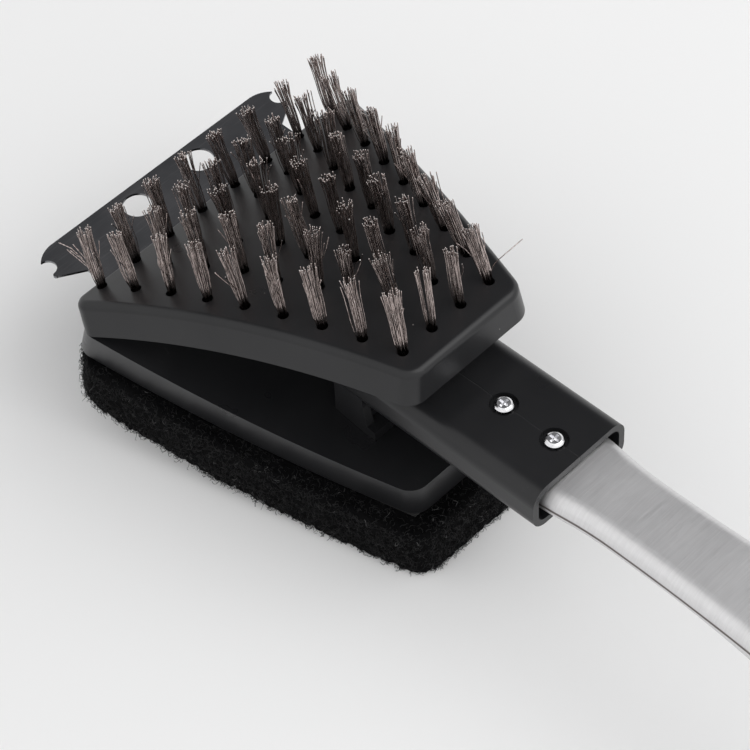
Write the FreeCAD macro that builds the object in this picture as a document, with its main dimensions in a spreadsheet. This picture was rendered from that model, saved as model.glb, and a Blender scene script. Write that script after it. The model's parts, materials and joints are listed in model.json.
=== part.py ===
import FreeCAD, Part
import math
import os
import Sketcher
from types import SimpleNamespace

from FreeCAD import Placement, Rotation, Vector

# Grill cleaning brush: a wedge-shaped head with wire tufts above, a scouring pad below and a
# scraper blade at the nose, on a flat steel handle held in a moulded socket.
#
# Frames, all in millimetres:
#   row      origin on the ground at the middle of the outline, +X from nose to handle, +Z up
#   head     origin on the parting line at the nose, +X along the middle plane of the wedge
#   arch     the head frame turned up by half the wedge angle: +X along a block's chord
#   handle   origin on the handle's axis at the open end of the socket, +X towards the tip

SIZES = {
    # wedge and the two arched blocks
    "head_pitch": 1.98,          # rise of the middle plane towards the handle, degrees
    "wedge_half": 12.42,         # angle of each chord to the middle plane, degrees
    "gap_arch": 255.6,           # radius of the faces that look into the wedge
    "nose_slope": 10.85,         # slope of the arch to its chord at the first tuft row, degrees
    "block_depth": 12.0,
    "holder_depth": 16.2,
    "nose_overlap": 0.86,        # arch angle in front of the first tuft row, degrees
    "rear_angle": 12.81,         # arch angle of the rear edge from the middle, degrees
    "nose_lean": 0.35,           # how far the nose wall leans out at the gap face, degrees
    "rear_lean": 0.33,           # the same for the rear wall
    "nose_half": 60.2,           # half width of the outer face at the first tuft row
    "rear_half": 23.3,           # half width of the outer face at the rear edge
    "side_flare": 1.5,           # how much wider each side is at the gap face
    "nose_corner": 4.5,
    "rear_corner": 7.0,
    "edge_round": 2.6,           # outer rim of the brush block
    "holder_round": 1.5,         # outer rim of the pad holder
    "parting_gap": 0.12,
    # wire tufts
    "row_count": 9,
    "row_step": 2.7125,          # arch angle between rows, degrees
    "field_nose": 50.0,          # half length of the first row
    "field_rear": 18.5,          # half length of the last row
    "bore_width": 3.5,
    "bore_depth": 8.0,
    "anchor_height": 1.8,
    "anchor_thick": 0.5,
    "anchor_play": 0.3,
    "tuft_root": 2.6,
    "tuft_tip": 5.4,
    "tuft_height": 20.0,
    # scouring pad
    "pad_thick": 21.4,
    "bond_thick": 0.6,
    "pad_nose_inner": 1.0,       # arch angle of the nose end in front of the first row, inner face
    "pad_nose_outer": -0.3,      # the same at the outer face: the pad is cut back there
    "pad_margin_nose": 0.6,      # how far the pad's sides stand past the holder, at the nose
    "pad_margin_rear": 5.6,      # the same at the rear
    "pad_corner": 9.0,
    "holder_skin": 4.0,
    "holder_wall": 3.0,
    # scraper blade
    "blade_thick": 0.85,
    "blade_reach": 37.0,         # how far the front edge stands ahead of the parting line's origin
    "blade_edge_half": 44.0,     # half length of the straight front edge
    "blade_tail": 20.0,
    "blade_neck_half": 43.0,
    "blade_hole": 10.0,
    "blade_hole_pitch": 27.0,
    "blade_hole_setback": 7.8,
    "notch_radius": 3.1,
    "blade_corner": 3.9,         # run of the rounded corner beyond the straight front edge
    "notch_setback": 6.5,        # notch centre behind the front edge
    "notch_outset": 7.2,         # notch centre beyond the straight front edge
    "ear_width": 1.8,
    "ear_outset": 0.8,
    "shoulder_setback": 9.8,     # where the ear's slope meets the neck, behind the notch centre
    "blade_play": 0.3,
    # screws
    "pan_head": 6.6,
    "pan_height": 2.3,
    "screw_shank": 3.5,
    "screw_fit": 3.7,
    "boss_width": 9.0,
    "nose_screw_pitch": 29.0,
    "nose_screw_setback": 14.0,
    "clamp_screw_pitch": 26.0,
    "screw_bite": 2.0,           # how far a boss or a screw reaches into the next wall
    # socket with its foot between the blocks
    "foot_front": 64.5,
    "foot_back": 81.5,
    "foot_half": 19.4,
    "foot_flange": 4.0,
    "foot_column": 12.0,
    "gusset": 3.0,
    "socket_end": 146.9,         # open end of the socket from the parting line's origin
    "axis_height": 3.0,          # handle axis above the middle plane at the open end
    "axis_rise": 1.6,            # handle axis against the middle plane, degrees
    "socket_width": 40.2,
    "socket_above": 8.9,
    "socket_below": 8.4,
    "socket_corner": 6.0,
    "socket_wall": 2.4,
    "socket_bore": 42.0,
    "socket_length": 78.0,
    "rib_width": 1.2,
    "head_recess": 9.0,
    "recess_depth": 1.7,
    "screw_first": 9.8,          # first handle screw from the socket's open end
    "screw_pitch": 20.0,
    "screw_reach": 10.5,
    # handle
    "handle_inside": 40.0,
    "handle_length": 260.0,
    "handle_root": 31.6,         # width in the socket
    "handle_waist": 26.9,
    "handle_grip": 34.6,
    "root_place": -12.0,         # places along the axis where the width and the belly change
    "waist_place": 24.0,
    "grip_place": 142.0,
    "belly_start": 44.0,
    "belly_full": 110.0,
    "belly_fade": 180.0,
    "belly_end": 230.0,
    "handle_thick": 11.0,
    "handle_crown": 2.8,         # drop of the crowned top at one grip width off the axis
    "handle_belly": 3.0,         # how much deeper the grip is than the root
    "handle_round": 5.0,
    "core_round": 4.0,
    "sheet": 1.0,
    "seam_drop": 0.4,            # seam between the two shells, below the axis
    "plug_play": 0.05,
    "eyelet_bore": 9.0,
    "eyelet_wall": 1.0,
    "eyelet_flange": 2.2,
    "eyelet_mouth": 0.4,         # rounding of the eyelet's mouth
    "eyelet_setback": 15.0,
}

ROW_TUFTS = [8, 8, 7, 6, 6, 5, 5, 4, 4]
SEARCH_STEPS = 500        # steps in the search for where the arch leaves the parting plane


# ---------------------------------------------------------------- document helpers

def make_sheet(doc):
    """Write the driving sizes to a spreadsheet, one alias each."""
    sheet = doc.addObject("Spreadsheet::Sheet", "sizes")
    for line, (name, value) in enumerate(SIZES.items(), start=1):
        sheet.set(f"A{line}", name)
        sheet.set(f"B{line}", str(value))
        sheet.setAlias(f"B{line}", name)
    doc.recompute()
    return sheet


def read_sizes(sheet):
    """The sheet's values as plain numbers, for sketch points and placements."""
    return SimpleNamespace(**{name: float(sheet.get(name)) for name in SIZES})


def add_body(doc, name):
    body = doc.addObject("PartDesign::Body", name)
    body.Label = name
    return body


def add_sketch(body, name, role, offset=0.0):
    """A sketch on one of the body's own origin planes, moved along the plane's normal."""
    sketch = body.newObject("Sketcher::SketchObject", name)
    plane = next(item for item in body.Origin.OriginFeatures if item.Role == role)
    sketch.AttachmentSupport = [(plane, "")]
    sketch.MapMode = "FlatFace"
    sketch.AttachmentOffset = Placement(Vector(0, 0, offset), Rotation())
    return sketch


def draw_loop(sketch, path):
    """Closed loop: a point is reached by a line, and a (through, end) pair by an arc."""
    here = path[0]
    for step in path[1:] + [path[0]]:
        if isinstance(step, tuple):
            through, end = step
            sketch.addGeometry(Part.Arc(here, through, end), False)
        else:
            end = step
            if here.distanceToPoint(end) > 1e-6:
                sketch.addGeometry(Part.LineSegment(here, end), False)
        here = end


def draw_circle(sketch, x, y, diameter):
    """Circle with its diameter bound to a cell of the sheet."""
    radius = float(sketch.Document.sizes.get(diameter)) / 2
    index = sketch.addGeometry(Part.Circle(Vector(x, y, 0), Vector(0, 0, 1), radius), False)
    bound = sketch.addConstraint(Sketcher.Constraint("Diameter", index, 2 * radius))
    sketch.setExpression(f"Constraints[{bound}]", f"sizes.{diameter}")


def rectangle(x0, y0, x1, y1):
    return [Vector(x0, y0, 0), Vector(x1, y0, 0), Vector(x1, y1, 0), Vector(x0, y1, 0)]


def extrude(body, kind, sketch, name, length, side="One side", reverse=False):
    """Pad or pocket a sketch by a length given as a sheet expression."""
    feature = body.newObject(f"PartDesign::{kind}", name)
    feature.Profile = sketch
    feature.setExpression("Length", length)
    feature.SideType = side
    feature.Reversed = reverse
    sketch.Visibility = False
    body.Document.recompute()
    return feature


def lathe(body, sketch, name):
    """Turn a sketched half section about its vertical axis."""
    feature = body.newObject("PartDesign::Revolution", name)
    feature.Profile = sketch
    feature.ReferenceAxis = (sketch, ["V_Axis"])
    feature.Angle = 360
    sketch.Visibility = False
    body.Document.recompute()


def round_edges(body, name, radius, wanted):
    """Fillet the edges of the body that the wanted test picks out."""
    body.Document.recompute()
    base = body.Tip
    picked = [f"Edge{i}" for i, edge in enumerate(base.Shape.Edges, start=1) if wanted(edge)]
    feature = body.newObject("PartDesign::Fillet", name)
    feature.Base = (base, picked)
    feature.setExpression("Radius", f"sizes.{radius}")
    body.Document.recompute()
    return feature


def add_cylinder(doc, name, radius, height, place):
    """Cylinder whose radius and height are sheet expressions."""
    item = doc.addObject("Part::Cylinder", name)
    item.setExpression("Radius", radius)
    item.setExpression("Height", height)
    item.Placement = place
    return item


def add_compound(doc, name, items):
    group = doc.addObject("Part::Compound", name)
    group.Links = items
    return group


def add_fuse(doc, name, items):
    fuse = doc.addObject("Part::MultiFuse", name)
    fuse.Shapes = items
    return fuse


def add_cut(doc, name, base, tool):
    cut = doc.addObject("Part::Cut", name)
    cut.Base = base
    cut.Tool = tool
    return cut


def add_common(doc, name, base, tool):
    common = doc.addObject("Part::Common", name)
    common.Base = base
    common.Tool = tool
    return common


# ---------------------------------------------------------------- frames and the arch

def turn(axis, degrees, origin=Vector(0, 0, 0)):
    return Placement(origin, Rotation(axis, degrees))


def upper_frame(size):
    """Arch frame of the brush block, in the head frame."""
    return turn(Vector(0, 1, 0), -size.wedge_half)


def lower_frame(size):
    """Arch frame of the pad holder: the upper one mirrored by half a turn about the head's X axis."""
    return turn(Vector(1, 0, 0), 180).multiply(upper_frame(size))


def handle_frame(size):
    """Handle frame, in the head frame."""
    origin = Vector(size.socket_end, 0, size.axis_height)
    return turn(Vector(0, 1, 0), -size.axis_rise, origin)


def arch_centre(size):
    """Centre of the arch in the arch frame, as (x, z)."""
    slope = math.radians(size.nose_slope)
    return size.gap_arch * math.sin(slope), -size.gap_arch * math.cos(slope)


def arch_point(size, height, degrees):
    """Point at an arch angle and a height above the gap face, in an XZ sketch."""
    centre_x, centre_z = arch_centre(size)
    radius = size.gap_arch + height
    angle = math.radians(degrees)
    return Vector(centre_x + radius * math.sin(angle), centre_z + radius * math.cos(angle), 0)


def gap_height(size, x):
    """Height of the gap face above the head's middle plane at a head X position."""
    centre_x, centre_z = arch_centre(size)
    half = math.radians(size.wedge_half)
    head_x = centre_x * math.cos(half) - centre_z * math.sin(half)
    head_z = centre_x * math.sin(half) + centre_z * math.cos(half)
    return head_z + math.sqrt(size.gap_arch ** 2 - (x - head_x) ** 2)


def head_place(size):
    """Head frame in the row frame: the pad touches the ground and the outline is centred on X."""
    centre_x, centre_z = arch_centre(size)
    pad_outer = size.gap_arch + size.holder_depth + size.bond_thick + size.pad_thick
    pitch = turn(Vector(0, 1, 0), -size.head_pitch)
    lower = pitch.multiply(lower_frame(size)).multVec(Vector(centre_x, 0, centre_z))
    lift = pad_outer - lower.z
    front = pitch.multVec(Vector(-size.blade_reach, 0, 0)).x
    tip = pitch.multiply(handle_frame(size)).multVec(Vector(size.handle_length, 0, 0)).x
    return Placement(Vector(-(front + tip) / 2, 0, lift), pitch.Rotation)


# ---------------------------------------------------------------- arched slabs

def slab_profile(size, heights, nose, rear):
    """Side outline of an arched slab; nose and rear are arch angles at the low and high face."""
    low, high = heights
    middle = (nose[1] + rear[1]) / 2
    nose_low = arch_point(size, low, nose[0])
    return [nose_low, arch_point(size, high, nose[1]),
            (arch_point(size, high, middle), arch_point(size, high, rear[1])),
            arch_point(size, low, rear[0]), (arch_point(size, low, middle), nose_low)]


def parted_profile(size, heights, nose, rear, floor):
    """Slab outline whose low face stops at the parting plane: it is flat from there to the nose."""
    half = math.radians(size.wedge_half)
    slope = size.nose_slope
    low = heights[0]
    contact = next(
        angle for angle in (-slope + slope * step / SEARCH_STEPS for step in range(SEARCH_STEPS))
        if arch_point(size, low, angle).x * math.sin(half)
        + arch_point(size, low, angle).y * math.cos(half) >= floor)
    lift = arch_point(size, low, contact)
    nose_x = arch_point(size, low, nose[0]).x
    nose_foot = Vector(nose_x, lift.y - (nose_x - lift.x) * math.tan(half), 0)
    middle = (contact + rear[0]) / 2
    full = slab_profile(size, heights, nose, rear)
    return [nose_foot] + full[1:4] + [(arch_point(size, low, middle), lift)]


def add_slab(doc, name, size, profile, nose_half, rear_half, flare):
    """Arched slab: tapering in plan, its sides leaning out by the flare towards the gap."""
    body = add_body(doc, name)
    nose_x = arch_point(size, size.block_depth, -size.nose_slope).x
    rear_x = arch_point(size, size.block_depth, size.rear_angle).x
    taper = (nose_half - rear_half) / (rear_x - nose_x)
    ahead = size.nose_half
    behind = size.nose_half / 4
    loft = []
    for height in (-size.block_depth, size.block_depth * 4):
        lean = flare * (1 - height / size.block_depth)
        wide = nose_half + lean + taper * ahead
        narrow = rear_half + lean - taper * behind
        sketch = add_sketch(body, f"{name}_plan", "XY_Plane", height)
        draw_loop(sketch, [Vector(nose_x - ahead, -wide, 0), Vector(rear_x + behind, -narrow, 0),
                           Vector(rear_x + behind, narrow, 0), Vector(nose_x - ahead, wide, 0)])
        loft.append(sketch)
    prism = body.newObject("PartDesign::AdditiveLoft", f"{name}_prism")
    prism.Profile = loft[0]
    prism.Sections = [loft[1]]
    prism.Ruled = True
    doc.recompute()
    side = add_sketch(body, f"{name}_side", "XZ_Plane")
    draw_loop(side, rectangle(-size.gap_arch, -size.gap_arch, size.gap_arch, size.gap_arch))
    draw_loop(side, profile)
    extrude(body, "Pocket", side, f"{name}_trim", "4 * sizes.nose_half", "Symmetric")
    return body


def upright_edge(edge, size, ahead):
    """True for the edges down the slab's corners: at the nose if ahead, else at the rear."""
    first, last = edge.Vertexes[0].Point, edge.Vertexes[-1].Point
    rises = abs(first.z - last.z) > 0.5 * abs(edge.Length)
    return rises and ((first.x < size.foot_front) == ahead)


def outer_rim_edge(edge, size, height):
    """True for the edges around the outer face of a slab."""
    centre_x, centre_z = arch_centre(size)
    radius = size.gap_arch + height
    points = [edge.valueAt(edge.FirstParameter + share * (edge.LastParameter - edge.FirstParameter))
              for share in (0.0, 0.35, 0.7, 1.0)]
    return all(abs(math.hypot(p.x - centre_x, p.z - centre_z) - radius) < 0.02 for p in points)


def add_rounded_slab(doc, name, size, depth, floor, rim):
    """A block or holder: arched slab with rounded corners and a rounded outer rim."""
    front = -size.nose_slope - size.nose_overlap
    nose = (front - size.nose_lean, front)
    rear = (size.rear_angle + size.rear_lean, size.rear_angle)
    profile = parted_profile(size, (0.0, depth), nose, rear, floor)
    body = add_slab(doc, name, size, profile, size.nose_half, size.rear_half, size.side_flare)
    round_edges(body, f"{name}_nose_corners", "nose_corner", lambda e: upright_edge(e, size, True))
    round_edges(body, f"{name}_rear_corners", "rear_corner", lambda e: upright_edge(e, size, False))
    round_edges(body, f"{name}_rim", rim, lambda e: outer_rim_edge(e, size, depth))
    return body


# ---------------------------------------------------------------- tufts

def tuft_places(size):
    """Placement of every tuft on the block's outer face, row by row, +Z out of the face."""
    rows = []
    last = size.row_count - 1
    for row, count in enumerate(ROW_TUFTS):
        angle = -size.nose_slope + row * size.row_step
        foot = arch_point(size, size.block_depth, angle)
        half = size.field_nose + (size.field_rear - size.field_nose) * row / last
        places = []
        for index in range(count):
            side = -half + 2 * half * index / (count - 1)
            places.append(turn(Vector(0, 1, 0), angle, Vector(foot.x, side, foot.y)))
        rows.append(places)
    return rows


def add_tuft_row(doc, size, row, places):
    """One row of tufts: each is a bundle of wires, narrow in its bore and splayed at the tip."""
    root = -size.bore_depth + size.anchor_height
    tufts = []
    for index, place in enumerate(places):
        cone = doc.addObject("Part::Cone", f"tuft_{row}_{index}")
        cone.setExpression("Radius1", "sizes.tuft_root / 2")
        cone.setExpression("Radius2", "sizes.tuft_tip / 2")
        cone.setExpression("Height", "sizes.tuft_height + sizes.bore_depth - sizes.anchor_height")
        cone.Placement = place.multiply(Placement(Vector(0, 0, root), Rotation()))
        tufts.append(cone)
    return add_compound(doc, f"tufts_row_{row}", tufts)


def add_tuft_anchors(doc, size, rows):
    """Flat staples at the bottom of the bores, which hold the folded wires."""
    anchors = []
    for index, place in enumerate(place for places in rows for place in places):
        staple = doc.addObject("Part::Box", f"anchor_{index}")
        staple.setExpression("Length", "sizes.anchor_thick")
        staple.setExpression("Width", "sizes.bore_width - sizes.anchor_play")
        staple.setExpression("Height", "sizes.anchor_height")
        across = (size.bore_width - size.anchor_play) / 2
        corner = Vector(-size.anchor_thick / 2, -across, -size.bore_depth)
        staple.Placement = place.multiply(Placement(corner, Rotation()))
        anchors.append(staple)
    return add_compound(doc, "tuft_anchors", anchors)


# ---------------------------------------------------------------- brush block and pad holder

def nose_screw_places(size):
    """Axes of the short screws that clamp the blade, pointing up in the head frame."""
    return [Vector(size.nose_screw_setback, size.nose_screw_pitch * side, 0) for side in (-1, 0, 1)]


def clamp_screw_places(size):
    """Axes of the long screws through holder, foot and block."""
    along = size.foot_front + size.foot_column / 2
    return [Vector(along, size.clamp_screw_pitch / 2 * side, 0) for side in (-1, 1)]


def add_brush_block(doc, size, rows):
    slab = add_rounded_slab(doc, "block_slab", size, size.block_depth, size.parting_gap, "edge_round")
    slab.Placement = upper_frame(size)
    rise = gap_height(size, size.nose_screw_setback) + size.screw_bite
    bosses = [add_cylinder(doc, "block_boss", "sizes.boss_width / 2", f"{rise - size.parting_gap}",
                           Placement(spot + Vector(0, 0, size.parting_gap), Rotation()))
              for spot in nose_screw_places(size)]
    solid = add_fuse(doc, "block_solid", [slab] + bosses)
    bores = []
    for place in (place for places in rows for place in places):
        sunk = upper_frame(size).multiply(place)
        sunk = sunk.multiply(Placement(Vector(0, 0, -size.bore_depth), Rotation()))
        bores.append(add_cylinder(doc, "tuft_bore", "sizes.bore_width / 2", "2 * sizes.bore_depth", sunk))
    pilots = [add_cylinder(doc, "block_pilot", "sizes.screw_shank / 2",
                           f"{rise + size.screw_bite}", Placement(spot, Rotation()))
              for spot in nose_screw_places(size)]
    ceiling = gap_height(size, size.foot_front)
    pilots += [add_cylinder(doc, "clamp_pilot", "sizes.screw_shank / 2", "sizes.bore_depth",
                            Placement(spot + Vector(0, 0, ceiling - 1), Rotation()))
               for spot in clamp_screw_places(size)]
    block = add_cut(doc, "brush_block", solid, add_compound(doc, "block_holes", bores + pilots))
    block.Placement = head_place(size)
    return block


def add_holder_hollow(doc, size):
    """The moulding's hollow on the pad's side, in the lower arch frame."""
    end = math.degrees(size.holder_wall / size.gap_arch)
    ends = (-size.nose_slope + end, size.rear_angle - 2 * end)
    profile = slab_profile(size, (size.holder_skin, 1.5 * size.holder_depth), (ends[0], ends[0]),
                           (ends[1], ends[1]))
    inset = 2 * size.holder_wall
    return add_slab(doc, "holder_hollow", size, profile, size.nose_half - inset,
                    size.rear_half - inset, 0.0)


def add_pad_holder(doc, size):
    slab = add_rounded_slab(doc, "holder_slab", size, size.holder_depth, 0.0, "holder_round")
    slab.Placement = lower_frame(size)
    hollow = add_holder_hollow(doc, size)
    hollow.Placement = lower_frame(size)
    shell = add_cut(doc, "holder_shell", slab, hollow)
    drop = gap_height(size, size.nose_screw_setback) + size.holder_skin
    posts = [add_cylinder(doc, "holder_boss", "sizes.boss_width / 2", f"{drop - size.blade_thick}",
                          Placement(spot - Vector(0, 0, drop), Rotation()))
             for spot in nose_screw_places(size)]
    depth = gap_height(size, size.foot_front) + size.holder_skin
    posts += [add_cylinder(doc, "clamp_boss", "sizes.boss_width / 2", "sizes.holder_depth / 2",
                           Placement(spot - Vector(0, 0, depth + size.holder_depth / 4), Rotation()))
              for spot in clamp_screw_places(size)]
    solid = add_fuse(doc, "holder_solid", [shell] + posts)
    slot = doc.addObject("Part::Box", "blade_slot")
    slot.setExpression("Length", "sizes.blade_reach")
    slot.setExpression("Width", "2 * (sizes.blade_neck_half + sizes.blade_play)")
    slot.setExpression("Height", "sizes.blade_thick")
    slot.Placement = Placement(
        Vector(size.blade_tail - size.blade_reach, -size.blade_neck_half - size.blade_play,
               size.parting_gap - size.blade_thick), Rotation())
    holes = [add_cylinder(doc, "holder_way", "sizes.screw_fit / 2", "2 * sizes.nose_half",
                          Placement(spot - Vector(0, 0, size.nose_half), Rotation()))
             for spot in nose_screw_places(size) + clamp_screw_places(size)]
    holder = add_cut(doc, "pad_holder", solid, add_compound(doc, "holder_holes", holes + [slot]))
    holder.Placement = head_place(size)
    return holder


# ---------------------------------------------------------------- scouring pad

def add_pad_layer(doc, name, size, heights, inset):
    """A layer of the pad: same arch and taper as the holder, with its own margin all round."""
    half = size.side_flare / 2 - inset
    behind = math.degrees((size.pad_margin_rear - inset) / (size.gap_arch + heights[0]))
    ahead = math.degrees(inset / (size.gap_arch + heights[0]))
    first = -size.nose_slope + ahead
    share = (heights[1] - heights[0]) / size.pad_thick
    cut_back = (size.pad_nose_inner - size.pad_nose_outer) * share
    nose = (first - size.pad_nose_inner, first - size.pad_nose_inner + cut_back)
    rear = size.rear_angle + behind
    profile = slab_profile(size, heights, nose, (rear, rear))
    body = add_slab(doc, name, size, profile, size.nose_half + half + size.pad_margin_nose,
                    size.rear_half + half + size.pad_margin_rear, 0.0)
    body.Placement = head_place(size).multiply(lower_frame(size))
    return body


def add_scouring_pad(doc, size):
    low = size.holder_depth + size.bond_thick
    pad = add_pad_layer(doc, "scouring_pad", size, (low, low + size.pad_thick), 0.0)
    round_edges(pad, "scouring_pad_corners", "pad_corner",
                lambda e: upright_edge(e, size, True) or upright_edge(e, size, False))
    return pad


def add_pad_bond(doc, size):
    """Adhesive layer between holder and pad, set in from the holder's rounded rim."""
    low = size.holder_depth
    inset = size.pad_margin_rear + size.holder_round
    return add_pad_layer(doc, "pad_bond", size, (low, low + size.bond_thick), inset)


# ---------------------------------------------------------------- scraper blade

def blade_outline(size):
    """Plan of the blade: straight front edge, a round notch at each end and a narrower neck."""
    front = -size.blade_reach
    edge = size.blade_edge_half
    notch = size.notch_radius
    notch_x = front + size.notch_setback
    notch_y = edge + size.notch_outset
    ear_x = notch_x + notch + size.ear_width / 2
    ear_y = notch_y + size.ear_outset
    corner = size.blade_corner
    slant = notch * math.sqrt(0.5)
    return [
        Vector(front, edge, 0),
        (Vector(front + corner * 0.25, edge + corner, 0), Vector(notch_x - notch, notch_y, 0)),
        (Vector(notch_x - slant + notch * 0.6, notch_y - notch * 0.98, 0),
         Vector(notch_x + notch, notch_y, 0)),
        (Vector(ear_x, ear_y, 0), Vector(ear_x + size.ear_width / 2, notch_y, 0)),
        Vector(notch_x + size.shoulder_setback, size.blade_neck_half, 0),
        Vector(size.blade_tail, size.blade_neck_half, 0),
    ]


def mirror_path(side):
    """Close a half outline with its mirror image in Y, walked backwards."""
    def flip(point):
        return Vector(point.x, -point.y, 0)

    ends = [step[1] if isinstance(step, tuple) else step for step in side]
    path = list(side)
    path.append(flip(ends[-1]))
    for index in range(len(side) - 1, 0, -1):
        target = flip(ends[index - 1])
        step = side[index]
        path.append((flip(step[0]), target) if isinstance(step, tuple) else target)
    return path


def add_scraper_blade(doc, size):
    body = add_body(doc, "scraper_blade")
    plan = add_sketch(body, "blade_plan", "XY_Plane", size.parting_gap)
    draw_loop(plan, mirror_path(blade_outline(size)))
    hole_x = -size.blade_reach + size.blade_hole_setback
    for side in (-1, 1):
        draw_circle(plan, hole_x, side * size.blade_hole_pitch / 2, "blade_hole")
    for spot in nose_screw_places(size):
        draw_circle(plan, spot.x, spot.y, "screw_fit")
    extrude(body, "Pad", plan, "blade_sheet", "sizes.blade_thick", reverse=True)
    body.Placement = head_place(size)
    return body


# ---------------------------------------------------------------- screws

def add_screw(doc, name, length, place):
    """Pan-head cross-recess screw: head up from Z = 0, shank down."""
    size = read_sizes(doc.sizes)
    head = size.pan_head / 2
    shank = size.screw_shank / 2
    tall = size.pan_height
    body = add_body(doc, name)
    half = add_sketch(body, f"{name}_half", "XZ_Plane")
    draw_loop(half, [
        Vector(0, -length, 0), Vector(shank * 0.4, -length, 0), Vector(shank, 2 * shank - length, 0),
        Vector(shank, 0, 0), Vector(head, 0, 0), Vector(head, tall * 0.35, 0),
        Vector(head * 0.93, tall * 0.65, 0), Vector(head * 0.8, tall * 0.88, 0),
        Vector(head * 0.64, tall, 0), Vector(0, tall, 0)])
    lathe(body, half, f"{name}_lathe")
    cross = add_sketch(body, f"{name}_cross", "XY_Plane", tall)
    arm, slim = head * 0.52, head * 0.13
    draw_loop(cross, [
        Vector(-arm, -slim, 0), Vector(-slim, -slim, 0), Vector(-slim, -arm, 0),
        Vector(slim, -arm, 0), Vector(slim, -slim, 0), Vector(arm, -slim, 0),
        Vector(arm, slim, 0), Vector(slim, slim, 0), Vector(slim, arm, 0),
        Vector(-slim, arm, 0), Vector(-slim, slim, 0), Vector(-arm, slim, 0)])
    extrude(body, "Pocket", cross, f"{name}_recess", "0.6 * sizes.pan_height")
    body.Placement = place
    return body


def add_nose_screws(doc, size):
    """Short screws from under the holder, through the blade, into the block."""
    drop = gap_height(size, size.nose_screw_setback) + size.holder_skin
    length = drop + gap_height(size, size.nose_screw_setback) + size.screw_bite
    screws = [add_screw(doc, f"nose_screw_{index}", length,
                        turn(Vector(1, 0, 0), 180, spot - Vector(0, 0, drop)))
              for index, spot in enumerate(nose_screw_places(size))]
    group = add_compound(doc, "nose_screws", screws)
    group.Placement = head_place(size)
    return group


def add_clamp_screws(doc, size):
    """Long screws from under the holder, through the socket's foot, into the block."""
    drop = gap_height(size, size.foot_front) + size.holder_skin + size.holder_depth / 4
    length = drop + gap_height(size, size.foot_front) + size.bore_depth - 2 * size.screw_bite
    screws = [add_screw(doc, f"clamp_screw_{index}", length,
                        turn(Vector(1, 0, 0), 180, spot - Vector(0, 0, drop)))
              for index, spot in enumerate(clamp_screw_places(size))]
    group = add_compound(doc, "clamp_screws", screws)
    group.Placement = head_place(size)
    return group


def handle_screw_places(size):
    """Seats of the two handle screws on the socket's top, in the handle frame."""
    top = size.socket_above - size.recess_depth
    return [Vector(-size.screw_first - size.screw_pitch * index, 0, top) for index in (0, 1)]


def add_handle_screws(doc, size):
    screws = [add_screw(doc, f"handle_screw_{index}", size.screw_reach, Placement(spot, Rotation()))
              for index, spot in enumerate(handle_screw_places(size))]
    group = add_compound(doc, "handle_screws", screws)
    group.Placement = head_place(size).multiply(handle_frame(size))
    return group


# ---------------------------------------------------------------- socket

def rounded_rectangle(half, low, high, radius):
    """Loop in a YZ sketch: half width, bottom and top, and one corner radius."""
    bulge = radius * (1 - math.sqrt(0.5))
    return [
        Vector(-half + radius, low, 0), Vector(half - radius, low, 0),
        (Vector(half - bulge, low + bulge, 0), Vector(half, low + radius, 0)),
        Vector(half, high - radius, 0),
        (Vector(half - bulge, high - bulge, 0), Vector(half - radius, high, 0)),
        Vector(-half + radius, high, 0),
        (Vector(-half + bulge, high - bulge, 0), Vector(-half, high - radius, 0)),
        Vector(-half, low + radius, 0),
        (Vector(-half + bulge, low + bulge, 0), Vector(-half + radius, low, 0)),
    ]


def add_sleeve(doc, size):
    """Socket tube along the handle frame's X axis, closed at the head and open at the handle."""
    body = add_body(doc, "sleeve")
    outer = add_sketch(body, "sleeve_outer", "YZ_Plane")
    draw_loop(outer, rounded_rectangle(size.socket_width / 2, -size.socket_below, size.socket_above,
                                       size.socket_corner))
    extrude(body, "Pad", outer, "sleeve_pad", "sizes.socket_length", reverse=True)
    inner = add_sketch(body, "sleeve_inner", "YZ_Plane")
    wall = size.socket_wall
    draw_loop(inner, rounded_rectangle(size.socket_width / 2 - wall, -size.socket_below + wall,
                                       size.socket_above - wall, size.socket_corner - wall))
    extrude(body, "Pocket", inner, "sleeve_bore", "sizes.socket_bore")
    return body


def add_ceiling_ribs(doc, size):
    """Two ribs inside the sleeve that press on the handle, and a pad round each screw."""
    crown = size.handle_thick / 2
    drop = "sizes.socket_above - sizes.socket_wall / 2 - sizes.handle_thick / 2"
    ribs = []
    for side in (-1, 1):
        rib = doc.addObject("Part::Box", "sleeve_rib")
        rib.setExpression("Length", "sizes.socket_bore - sizes.rib_width")
        rib.setExpression("Width", "sizes.rib_width")
        rib.setExpression("Height", drop)
        rib.Placement = Placement(
            Vector(-size.socket_bore, (side * size.handle_root / 2 - size.rib_width) / 2, crown),
            Rotation())
        ribs.append(rib)
    for spot in handle_screw_places(size):
        ribs.append(add_cylinder(doc, "sleeve_boss", "sizes.head_recess / 2 + sizes.rib_width", drop,
                                 Placement(Vector(spot.x, 0, crown), Rotation())))
    return ribs


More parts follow.
